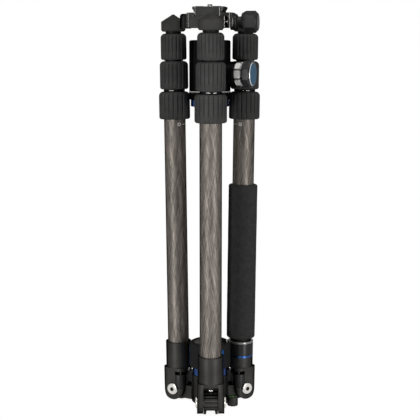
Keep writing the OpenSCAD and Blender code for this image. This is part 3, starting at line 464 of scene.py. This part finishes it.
def casting(name, base=(0.036, 0.035, 0.034), rough=0.45, edge=(0.075, 0.073, 0.07), grain=900.0,
            metallic=0.7, specular=0.0, bevel=0.0006, upright=False, detail=None):
    """Powder-coated casting with lighter edges: rubbed wear at a dark edge colour, and painted highlights on
    the chamfers at the pale edge colours of the clamp, plate and knobs. detail may change the colour and the
    roughness.
    """
    m = Mat(name, metallic=metallic, specular=specular, tint=0.1)
    at = m.coords()
    speck = m.noise(at, scale=grain, detail=4.0, rough=0.6)
    cloud = m.noise(at, scale=40.0)
    worn, soft = m.edges(bevel, upright)
    least = 0.7 if upright else 0.25
    patchy = m.ramp(m.noise(at, scale=160.0), [(0.38, grey(least)), (0.62, WHITE)])
    tone = m.cloudy(cloud, scaled(base, 0.8), scaled(base, 1.25))
    # Along worn edges the edge colour is rubbed wear where it is dark, and a painted highlight where it is
    # pale
    colour = m.mix(m.times(worn, patchy), tone, edge)
    level = m.times_add(speck, 0.16, rough - 0.08)
    if detail:
        colour, level = detail(m, colour, level)
    m.set("Base Color", colour)
    m.set("Roughness", level)
    m.set("Normal", m.bump(speck, strength=0.12, distance=0.0001, normal=soft))
    return m.mat


def clamp_boss(m, colour, level):
    """Glossier black on the clamp's boss, on the side away from the jaw."""
    x, y, _ = m.split(m.place())
    out = m.below(m.along(x, y, CLAMP_AZ), -BOSS_REACH)
    return m.mix(out, colour, grey(0.007)), m.take(level, m.times(out, 0.22))


def bolt_gap_shade(azimuth):
    """Painted shade: a dark ring in the gap round the head of a leg's pivot bolt."""
    def detail(m, colour, level):
        x, _, z = m.split(m.place(azimuth))
        # seat is the ring of painted shade round the bolt head
        seat = m.near(m.span(x, z), BOLT_GAP_SHADE_R, BOLT_GAP_SHADE_HALF)
        return m.mix(seat, colour, grey(0.006)), level

    return detail


def lug_shadow_lines(m, colour, level):
    """Painted shadow: dark level lines under the ridges across the outer face of each lug."""
    x, y, z = m.split(m.place())
    outer = m.above(m.span(x, y), PIVOT_R + LUG_FACE_OUT)
    for height, _ in LUG_SHADOW_LINES:
        # Each line is painted shadow under a ridge
        line = m.times(outer, m.near(z, height, LUG_SHADOW_HALF))
        colour = m.mix(line, colour, grey(0.004))
    return colour, level


def rubber(name, base, rough=0.72, grain=1500.0, ribs=None):
    """Moulded rubber: dull and finely grained, with painted shade in the grooves where ribs gives a leg's
    azimuth.
    """
    m = Mat(name, specular=0.0)
    at = m.coords()
    grit = m.noise(at, scale=grain, detail=5.0, rough=0.65)
    cloud = m.noise(at, scale=55.0, detail=4.0, rough=0.6)
    worn, soft = m.edges(radius=0.0005)
    tone = m.cloudy(cloud, scaled(base, 0.82), scaled(base, 1.2))
    if ribs is not None:
        x, y, z = m.split(m.place(ribs))
        reach = m.times_add(z, COLLAR_TAPER, m.span(x, y))
        side = m.above(reach, COLLAR_TAPER * COLLAR_CONE_Z + COLLAR_CONE_R)
        # Painted shade in the collar grooves, at half the tone
        groove_shade = m.valleys(x, y, COLLAR_RIBS, start=0.68, full=0.98)
        tone = m.mix(m.times(side, groove_shade), tone, scaled(base, 0.5))
    m.set("Base Color", m.mix(m.times(worn, 0.3), tone, scaled(base, 2.2)))
    m.set("Roughness", m.times_add(grit, 0.22, rough - 0.12))
    m.set("Normal", m.bump(grit, strength=0.22, distance=0.00012, normal=soft))
    return m.mat


def metal(name, colour, rough, tint=1.0, coat=0.0):
    """Turned or brushed metal: fine lines across the height, and a soft cloud in the polish."""
    spread = 0.12
    m = Mat(name, metallic=1.0, tint=tint)
    m.set("Coat Weight", coat)
    m.set("Coat Roughness", 0.18)
    at = m.coords()
    x, y, z = m.split(at)
    fine = m.noise(m.join(m.times(x, 0.1), m.times(y, 0.1), z), scale=4400.0, rough=0.6)
    cloud = m.noise(at, scale=90.0, rough=0.55)
    worn, soft = m.edges(radius=0.0004)
    tone = m.cloudy(cloud, scaled(colour, 0.88), colour)
    m.set("Base Color", m.mix(m.times(worn, 0.4), tone, scaled(colour, 1.25)))
    m.set("Roughness", m.times_add(cloud, spread, rough - spread / 2))
    m.set("Normal", m.bump(fine, strength=0.06, distance=0.00005, normal=soft))
    return m.mat


def gloss(name, rim=None):
    """Gloss black with faint handling haze, and a pale grey band above a rim height on the right leg."""
    m = Mat(name, metallic=0.6, specular=0.1, tint=0.4)
    haze = m.noise(m.coords(), scale=120.0, detail=4.0, rough=0.6)
    worn, soft = m.edges(radius=0.0006)
    colour = m.mix(m.times(worn, 0.3), grey(0.028), grey(0.03))
    if rim is not None:
        z = m.split(m.place(LEGS["right"]))[2]
        colour = m.mix(m.above(z, rim), colour, (0.21, 0.205, 0.20))
    m.set("Base Color", colour)
    m.set("Roughness", m.cloudy(haze, grey(0.24), grey(0.34)))
    m.set("Normal", m.bump(haze, strength=0.03, distance=0.0001, normal=soft))
    return m.mat


def hub(name):
    """Bright satin steel with painted shade, a dark line, in each valley between the hub's flats."""
    m = Mat(name, metallic=0.25)
    # Painted shade in the valleys between the flats
    line = m.valleys(*m.about_lock(), HUB_FLATS, start=0.66, full=0.92)
    cloud = m.noise(m.coords(), scale=90.0, rough=0.55)
    tone = m.cloudy(cloud, (0.86, 0.85, 0.82), (0.96, 0.95, 0.92))
    m.set("Base Color", m.mix(line, tone, (0.10, 0.095, 0.09)))
    m.set("Roughness", m.times_add(cloud, 0.06, 0.33))
    return m.mat


def foam(name):
    """Closed-cell foam: matt, with fine open pores painted dark as shade, and a soft mottle."""
    m = Mat(name, roughness=0.95, specular=0.04)
    at = m.coords()
    cells = m.node("ShaderNodeTexVoronoi", {"Vector": at, "Scale": 900.0}, feature="F1")
    mottle = m.noise(at, scale=140.0, detail=5.0, rough=0.65)
    # The open pores are painted darker: painted shade in the cells
    pores = m.ramp(cells, [(0.08, BLACK), (0.45, WHITE)])
    tone = m.cloudy(mottle, (0.043, 0.0425, 0.0425), (0.060, 0.059, 0.059))
    m.set("Base Color", m.mix(pores, grey(0.022), tone))
    soft = m.bump(mottle, strength=0.3, distance=0.0004)
    m.set("Normal", m.bump(pores, strength=0.3, distance=0.00015, normal=soft))
    return m.mat


def printed(name):
    """Pale ink, thinner in places."""
    # This ink also draws the painted glints on the leg necks
    ink = (0.78, 0.77, 0.74)
    m = Mat(name, roughness=0.55, specular=0.3)
    worn = m.noise(m.coords(), scale=1400.0, rough=0.6)
    m.set("Base Color", m.ramp(worn, [(0.3, scaled(ink, 0.7)), (0.6, ink)]))
    return m.mat


def vial(name):
    """Green spirit with a ring and a bubble under a clear lid."""
    m = Mat(name, roughness=0.12)
    about = {0: m.place(), 1: (VIAL_AT.x, VIAL_AT.y, 0)}
    at = m.node("ShaderNodeVectorMath", about, operation="SUBTRACT")
    x, y, _ = m.split(at)
    off_line = m.math("ABSOLUTE", m.take(m.span(x, y), VIAL_LINE_R))
    line = m.below(off_line, VIAL_LINE_HALF)
    off_bubble = m.math("DIVIDE", m.span(m.take(x, BUBBLE_X), m.take(y, BUBBLE_Y)), BUBBLE_SPAN)
    bubble = m.ramp(off_bubble, [(0.0, WHITE), (0.42, grey(0.75)), (0.47, BLACK)])
    fluid = m.cloudy(m.noise(at, scale=0.5), (0.07, 0.19, 0.05), (0.12, 0.28, 0.08))
    m.set("Base Color", m.mix(line, m.mix(bubble, fluid, (0.42, 0.6, 0.32)), (0.01, 0.02, 0.01)))
    m.set("Coat Weight", 1.0)
    m.set("Coat Roughness", 0.05)
    return m.mat


def lock_top(name):
    """Blue anodised windows, a grey satin top face whose light tone is partly painted reflection, and a black
    peg with a bright end on it.
    """
    m = Mat(name, specular=0.0, tint=0.1)
    at = m.place()
    x, y, z = m.split(at)
    cloud = m.noise(at, scale=0.09, rough=0.55)
    face = m.above(z, SLEEVE_TOP)
    peg = m.above(z, PEG_LOW)
    tip = m.above(m.along(x, y, PEG_AZ), PEG_TIP_REACH)
    blue = m.cloudy(cloud, (0.010, 0.048, 0.15), (0.014, 0.066, 0.21))
    # The top face's grey is the ring's metal, made lighter as a painted reflection
    satin = m.cloudy(cloud, (0.105, 0.103, 0.100), (0.160, 0.157, 0.152))
    top = m.mix(peg, satin, m.mix(tip, grey(0.010), (0.62, 0.60, 0.57)))
    m.set("Base Color", m.mix(face, blue, top))
    m.set("Metallic", m.mix(face, grey(0.6), m.mix(peg, grey(0.3), m.mix(tip, BLACK, WHITE))))
    m.set("Roughness", m.times_add(cloud, 0.15, 0.28))
    fine = m.noise(m.join(m.times(x, 0.1), m.times(y, 0.1), z), scale=4.0, rough=0.6)
    m.set("Normal", m.bump(fine, strength=0.06, distance=0.00005))
    return m.mat


def cap(name):
    """Blue anodised disc with turned rings and a bright rim, about the axis of the ball lock."""
    m = Mat(name, metallic=1.0, tint=0.5)
    r = m.span(*m.about_lock())
    rings = m.rings(r, scale=3.0, strength=0.1)
    tone = m.cloudy(rings, (0.030, 0.085, 0.14), (0.045, 0.125, 0.20))
    m.set("Base Color", m.mix(m.above(r, CAP_RIM_R), tone, (0.55, 0.56, 0.58)))
    m.set("Roughness", m.times_add(rings, 0.1, 0.22))
    return m.mat


def bolt(name, azimuth):
    """Domed steel head, turned in fine rings, with painted shade in the hexagon recess about the leg's pivot.
    """
    m = Mat(name, metallic=1.0, tint=0.8)
    x, _, z = m.split(m.place(azimuth))
    r = m.span(x, z)
    rings = m.rings(r, scale=2.5, strength=0.08)
    tone = m.cloudy(rings, (0.46, 0.45, 0.42), (0.68, 0.66, 0.62))
    # The hexagon recess is painted near black: painted shade
    m.set("Base Color", m.mix(m.below(r, BOLT_HEX_R), tone, (0.035, 0.034, 0.032)))
    m.set("Roughness", m.times_add(rings, 0.08, 0.20))
    return m.mat


def thread(name):
    """Steel with a fine thread on its upright sides, with painted shade in the thread's grooves."""
    m = Mat(name, roughness=0.25, metallic=1.0)
    x, y, z = m.split(m.place())
    climb = m.times(z, math.tau / SCREW_PITCH)
    wave = m.math("SINE", m.take(climb, m.math("ARCTAN2", y, x)))
    # Dark in the thread's grooves: painted shade
    m.set("Base Color", m.ramp(m.times_add(wave, 0.5, 0.5), [(0.1, grey(0.10)), (0.7, (0.62, 0.6, 0.57))]))
    m.set("Normal", m.bump(wave, strength=0.8, distance=0.0004))
    return m.mat


# Looks that several nodes share, and those of the nodes that are there once
# Clamp and plate: the pale colour on upright edges is a painted highlight of the side lamps on the chamfers
BLACK_CAST = {"base": (0.026, 0.0255, 0.025), "rough": 0.46, "edge": (0.85, 0.84, 0.82), "grain": 1200.0,
              "bevel": 0.0012, "upright": True}
M_CAST = casting("casting")
# Spider casting with painted shadow lines under the lug ridges
M_LUG = casting("lug_casting_shadow_lines", detail=lug_shadow_lines)
# Lug ribs: twice the casting's tone, a painted highlight along each ridge
M_RIB_HIGHLIGHT = casting("rib_casting_highlight", base=(0.072, 0.070, 0.068))
M_CLAMP = casting("clamp_casting", **BLACK_CAST, detail=clamp_boss)
M_PLATE = casting("plate_casting", **BLACK_CAST)
M_HOUSING = casting("housing_casting", base=grey(0.007), rough=0.36, edge=grey(0.03))
# Knobs: the pale edge colour is a painted highlight along the edges between facets
M_KNOB = casting("knob_plastic", base=(0.032, 0.032, 0.033), rough=0.36, edge=(0.12, 0.12, 0.122),
                 grain=1500.0, metallic=0.5, bevel=0.001, specular=0.1)
M_FOOT = rubber("foot_rubber", base=(0.060, 0.059, 0.057), rough=0.42)
M_PAD = rubber("pad_rubber", base=grey(0.040))
M_GRIP = rubber("column_lock_rubber", base=grey(0.024), rough=0.7, grain=700.0)
M_BLUE = metal("blue_anodised", (0.011, 0.052, 0.17), rough=0.26, tint=0.2, coat=0.3)
M_STEEL = metal("polished_steel", (0.54, 0.52, 0.49), rough=0.2)
M_BALL = metal("ball_steel", (0.55, 0.54, 0.52), rough=0.12)
M_GLOSS = gloss("gloss_black")
M_FOAM = foam("foam_grip_foam")
M_PRINT_AND_GLINT = printed("printed_mark_and_glint")

SINGLE_LOOKS = {
    "foam_grip": M_FOAM,
    "grip_coupling": gloss("coupling_gloss", rim=COUPLING_RIM_Z),
    "grip_ring": M_BLUE,
    "spider": M_LUG,
    "level_cup": M_CAST,
    "level_vial": vial("level_fluid"),
    "column_bush": M_GLOSS,
    "seat_ring": M_BLUE,
    "column_lock_sleeve": lock_top("lock_blue"),
    "column_lock_grip": M_GRIP,
    "column_tube": carbon("carbon_column", None, COLUMN_R),
    "column_plate": M_BLUE,
    "column_cap": M_CAST,
    "column_hook": M_STEEL,
    "pan_base": M_HOUSING,
    "head_housing": M_HOUSING,
    "pan_lock_knob": M_KNOB,
    "ball": M_BALL,
    "ball_lock_hub": hub("hub_steel"),
    "ball_lock_knob": M_KNOB,
    "ball_lock_cap": cap("cap_blue"),
    "clamp_body": M_CLAMP,
    "clamp_jaw": M_PLATE,
    "clamp_rods": M_STEEL,
    "clamp_knob": M_KNOB,
    "quick_release_plate": M_PLATE,
    "camera_screw": thread("screw_thread"),
}


def leg_looks(leg, azimuth):
    """Materials of a leg's nodes. What has a pattern about the leg's own axis or pivot is made per leg."""
    weave = carbon(f"carbon_{leg}", azimuth, low=GRIP_WEAVE_LOW if leg == "right" else WEAVE_LOW)
    collar = rubber(f"lock_rubber_{leg}", base=(0.064, 0.064, 0.063), ribs=azimuth)
    looks = {f"{leg}_tube_{i}": weave for i in (1, 2, 3, 4)}
    looks.update({f"{leg}_lock_{i}": collar for i in (1, 2, 3)})
    looks[f"{leg}_foot"] = M_FOOT
    # The yoke carries painted shade round its pivot bolt's head
    looks[f"{leg}_yoke"] = casting(f"yoke_casting_{leg}", detail=bolt_gap_shade(azimuth))
    looks[f"{leg}_angle_lock"] = M_GLOSS
    looks[f"{leg}_pivot_bolt"] = bolt(f"bolt_steel_{leg}", azimuth)
    return looks


def paint(looks):
    for name, material in looks.items():
        materials = frame["nodes"][name].data.materials
        materials.clear()
        materials.append(material)


for leg, azimuth in LEGS.items():
    paint(leg_looks(leg, azimuth))
paint(SINGLE_LOOKS)

# Foam grip
FOAM_LOW, FOAM_HIGH = 5.0, 210.5
FOAM_R, FOAM_BORE, FOAM_ROUND = 19.0, 14.06, 2.4
FOAM_ROWS, FOAM_SIDES, ROUND_STEPS = 72, 96, 6


def foam_sleeve():
    """Foam tube with soft rounded ends and a faintly uneven skin."""
    lip, lip_out, lip_in = 1.0, 0.6, 0.1
    low, high = FOAM_LOW + FOAM_ROUND, FOAM_HIGH - FOAM_ROUND

    def rounded(z, start):
        """Quarter round about a height."""
        points = []
        for i in range(ROUND_STEPS + 1):
            angle = math.radians(start + 90 * i / ROUND_STEPS)
            out = FOAM_R - FOAM_ROUND + FOAM_ROUND * math.cos(angle)
            points.append((out, z + FOAM_ROUND * math.sin(angle)))
        return points

    profile = [(FOAM_BORE, FOAM_HIGH - lip), (FOAM_BORE, FOAM_LOW + lip)]
    profile.append((FOAM_BORE + lip_out, FOAM_LOW + lip_in))
    profile += rounded(low, start=-90)
    profile += [(FOAM_R, low + (high - low) * i / FOAM_ROWS) for i in range(1, FOAM_ROWS)]
    profile += rounded(high, start=0)
    profile.append((FOAM_BORE + lip_out, FOAM_HIGH - lip_in))

    def uneven(angle, radius, z):
        """Dents and swellings of the outer skin, which lie mostly inside the CAD grip."""
        swell, sink, around, along, bore_wall = 0.16, 0.12, 2.2, 0.045, 1.5
        if radius < FOAM_BORE + bore_wall:
            return 0.0
        return swell * noise.noise(Vector(polar(around, angle, z * along))) - sink

    return lathe("foam_sleeve", profile, FOAM_SIDES, leg_matrix(LEGS["right"]), uneven)


grip = link("foam_sleeve", foam_sleeve(), M_FOAM, "right_leg")
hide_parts("foam_grip")

# Printed marks on the legs: a ring on each side of the tube and a dash between them, and painted glints on
# the neck in the same pale ink
INK = 0.03
RING_AT, RING_Z, RING_OUT, RING_IN = 144, 289.6, 2.3, 1.15
DASH_ANGLES, DASH_HEIGHTS = (163, 197), (289.2, 290.0)
# Heights and angles of the painted glints on each leg's neck
NECK_GLINT_HEIGHTS = (332.5, 333.5)
NECK_GLINTS = {
    "front": [(-23.0, -4.0), (12.5, 29.5)],
    "left": [(92.0, 117.0)],
    "right": [(-132.0, -128.0), (-115.0, -96.0)],
}
for leg, azimuth in LEGS.items():
    base = leg_matrix(azimuth)
    for letter, side in (("a", -1), ("b", 1)):
        ring = flat_ring("ring_mark", TUBE_R, RING_AT * side, RING_Z, RING_OUT, RING_IN, INK, base)
        link(f"{leg}_ring_mark_{letter}", ring, M_PRINT_AND_GLINT, f"{leg}_leg")
    dash = patch("dash_mark", TUBE_R, DASH_ANGLES, DASH_HEIGHTS, INK, base)
    link(f"{leg}_dash_mark", dash, M_PRINT_AND_GLINT, f"{leg}_leg")
for leg, glints in NECK_GLINTS.items():
    for i, angles in enumerate(glints):
        dash = patch("neck_glint", NECK_R, angles, NECK_GLINT_HEIGHTS, INK, leg_matrix(LEGS[leg]))
        link(f"{leg}_neck_glint_{i + 1}", dash, M_PRINT_AND_GLINT, f"{leg}_section_2")

# Index line and degree ticks round the pan base
LINE_LOW, LINE_HIGH, LINE_SUNK, LINE_SIDES = PAN_TOP - 1.1, PAN_TOP - 0.3, 0.2, 96
TICKS, TICK_TOP, TICK_HALF = 36, PAN_TOP - 1.2, 0.35
TALL_TICK, MIDDLE_TICK, SHORT_TICK = 1.8, 1.3, 0.8
TALL_EVERY, MIDDLE_EVERY = 9, 3
here = Matrix.Identity(4)
line_profile = [(PAN_R - LINE_SUNK, LINE_LOW), (PAN_R + INK, LINE_LOW),
                (PAN_R + INK, LINE_HIGH), (PAN_R - LINE_SUNK, LINE_HIGH)]
link("pan_line", lathe("pan_line", line_profile, LINE_SIDES, here), M_PRINT_AND_GLINT, "column")
for i in range(TICKS):
    tall = TALL_TICK if i % TALL_EVERY == 0 else MIDDLE_TICK if i % MIDDLE_EVERY == 0 else SHORT_TICK
    at = 360 / TICKS * i
    angles = (at - TICK_HALF, at + TICK_HALF)
    tick = patch("pan_tick", PAN_R, angles, (TICK_TOP - tall, TICK_TOP), INK, here, steps=1)
    link(f"pan_tick_{i + 1}", tick, M_PRINT_AND_GLINT, "column")

# Low ribs across the stop arc of each lug, in a paler casting that is a painted highlight, just above the
# painted shadow lines in its colour
RIB_OUT, RIB_HALF = 0.22, 8.6
RIB_LIFT = (0.8, 1.8)
for leg, azimuth in LEGS.items():
    pivot = pivot_matrix(azimuth) @ spin(90, "X")
    for i, (height, radius) in enumerate(LUG_SHADOW_LINES):
        angles = [math.degrees(math.asin((height + lift - PIVOT_Z) / radius)) for lift in RIB_LIFT]
        rib = patch("lug_rib", radius, angles, (-RIB_HALF, RIB_HALF), RIB_OUT, pivot, steps=3)
        link(f"{leg}_lug_rib_{i + 1}", rib, M_RIB_HIGHLIGHT, "base")

# Rubber pads on the plate, each with six points in a row across it
PAD_HALF_LENGTH, PAD_SUNK, PAD_OUT, PAD_EDGE = 14.0, 0.2, 0.5, 0.3
PAD_WIDTHS = ((-16.0, -6.0), (6.0, 16.0))
PAD_RIBS, RIB_ROWS, PAD_POINTS = 9, 4, 6


def pad_strip(x0, x1):
    """Rubber strip with shallow cross ribs: every fourth row and both ends lie lower."""
    rows = PAD_RIBS * RIB_ROWS
    low = PLATE_TOP - PAD_SUNK
    points = []
    faces = []
    for i in range(rows + 1):
        y = PAD_HALF_LENGTH * (2 * i / rows - 1)
        raised = i % RIB_ROWS != RIB_ROWS - 1 and 0 < i < rows
        top = PLATE_TOP + PAD_OUT - (0.0 if raised else PAD_EDGE)
        shoulder = top - PAD_EDGE
        left = ((x0, low), (x0, shoulder), (x0 + PAD_EDGE, top))
        right = ((x1 - PAD_EDGE, top), (x1, shoulder), (x1, low))
        points += [(x, y, z) for x, z in left + right]
    for i in range(rows):
        a = PAD_POINTS * i
        b = a + PAD_POINTS
        for j in range(PAD_POINTS):
            k = (j + 1) % PAD_POINTS
            faces.append((a + j, a + k, b + k, b + j))
    faces.append(tuple(reversed(range(PAD_POINTS))))
    faces.append(tuple(PAD_POINTS * rows + j for j in range(PAD_POINTS)))
    return mesh_from("plate_pad", points, faces, spin(CLAMP_AZ))


for i, (x0, x1) in enumerate(PAD_WIDTHS):
    link(f"plate_pad_{i + 1}", pad_strip(x0, x1), M_PAD, "plate")

# Stage: the floor is a small disc, so that opened legs show below it
FLOOR_R, FLOOR_SIDES, FLOOR_DROP = 0.14, 96, 0.0002
FLOOR_TONE, FLOOR_GLOW = 0.35, 0.92
WORLD_LIGHT, WORLD_SEEN = 0.06, 1.0


def pale_floor():
    """Matt floor that keeps the object's shadow and looks white round it."""
    material = bpy.data.materials.new("pale_floor")
    material.use_nodes = True
    t = Tree(material.node_tree)
    t.tree.nodes.clear()
    matt = t.node("ShaderNodeBsdfDiffuse", {"Color": (*grey(FLOOR_TONE), 1.0)})
    glow = t.node("ShaderNodeEmission", {"Strength": t.times(t.looked_at(), FLOOR_GLOW)})
    t.node("ShaderNodeOutputMaterial", {0: t.node("ShaderNodeAddShader", {0: matt, 1: glow})})
    return material


def floor_disc():
    mesh = bpy.data.meshes.new("floor")
    rim = [polar(FLOOR_R, math.tau * i / FLOOR_SIDES, 0) for i in range(FLOOR_SIDES)]
    mesh.from_pydata(rim, [], [tuple(range(FLOOR_SIDES))])
    mesh.materials.append(pale_floor())
    ob = bpy.data.objects.new("floor", mesh)
    ob.location.z = cad_low.z - FLOOR_DROP
    scene.collection.objects.link(ob)
    return ob


def white_world():
    """World that lights the object a little and looks white."""
    world = bpy.data.worlds.new("world")
    world.use_nodes = True
    t = Tree(world.node_tree)
    t.tree.nodes.clear()
    ends = {"Value": t.looked_at(), "To Min": WORLD_LIGHT, "To Max": WORLD_SEEN}
    level = t.node("ShaderNodeMapRange", ends)
    sky = t.node("ShaderNodeBackground", {"Strength": level, "Color": (*WHITE, 1)})
    t.node("ShaderNodeOutputWorld", {0: sky})
    return world


floor = floor_disc()
scene.world = white_world()

# Lamps, turned to the middle of the object
LAMP_AIM = Vector((0, 0, 0.26))


def softbox(name, at, size, power):
    lamp = bpy.data.lights.new(name, "AREA")
    lamp.shape = "RECTANGLE"
    lamp.size, lamp.size_y = size
    lamp.energy = power
    ob = bpy.data.objects.new(name, lamp)
    ob.location = at
    ob.rotation_euler = (LAMP_AIM - Vector(at)).to_track_quat("-Z", "Y").to_euler()
    scene.collection.objects.link(ob)


softbox("left_light", at=(-1.25, -1.65, 0.05), size=(0.6, 1.2), power=25.0)
softbox("right_light", at=(1.25, -1.65, 0.05), size=(0.6, 1.2), power=22.0)
softbox("top_light", at=(0.0, -0.5, 2.3), size=(1.2, 0.8), power=16.0)
softbox("back_light", at=(0.0, 1.9, 1.3), size=(1.4, 0.9), power=14.0)
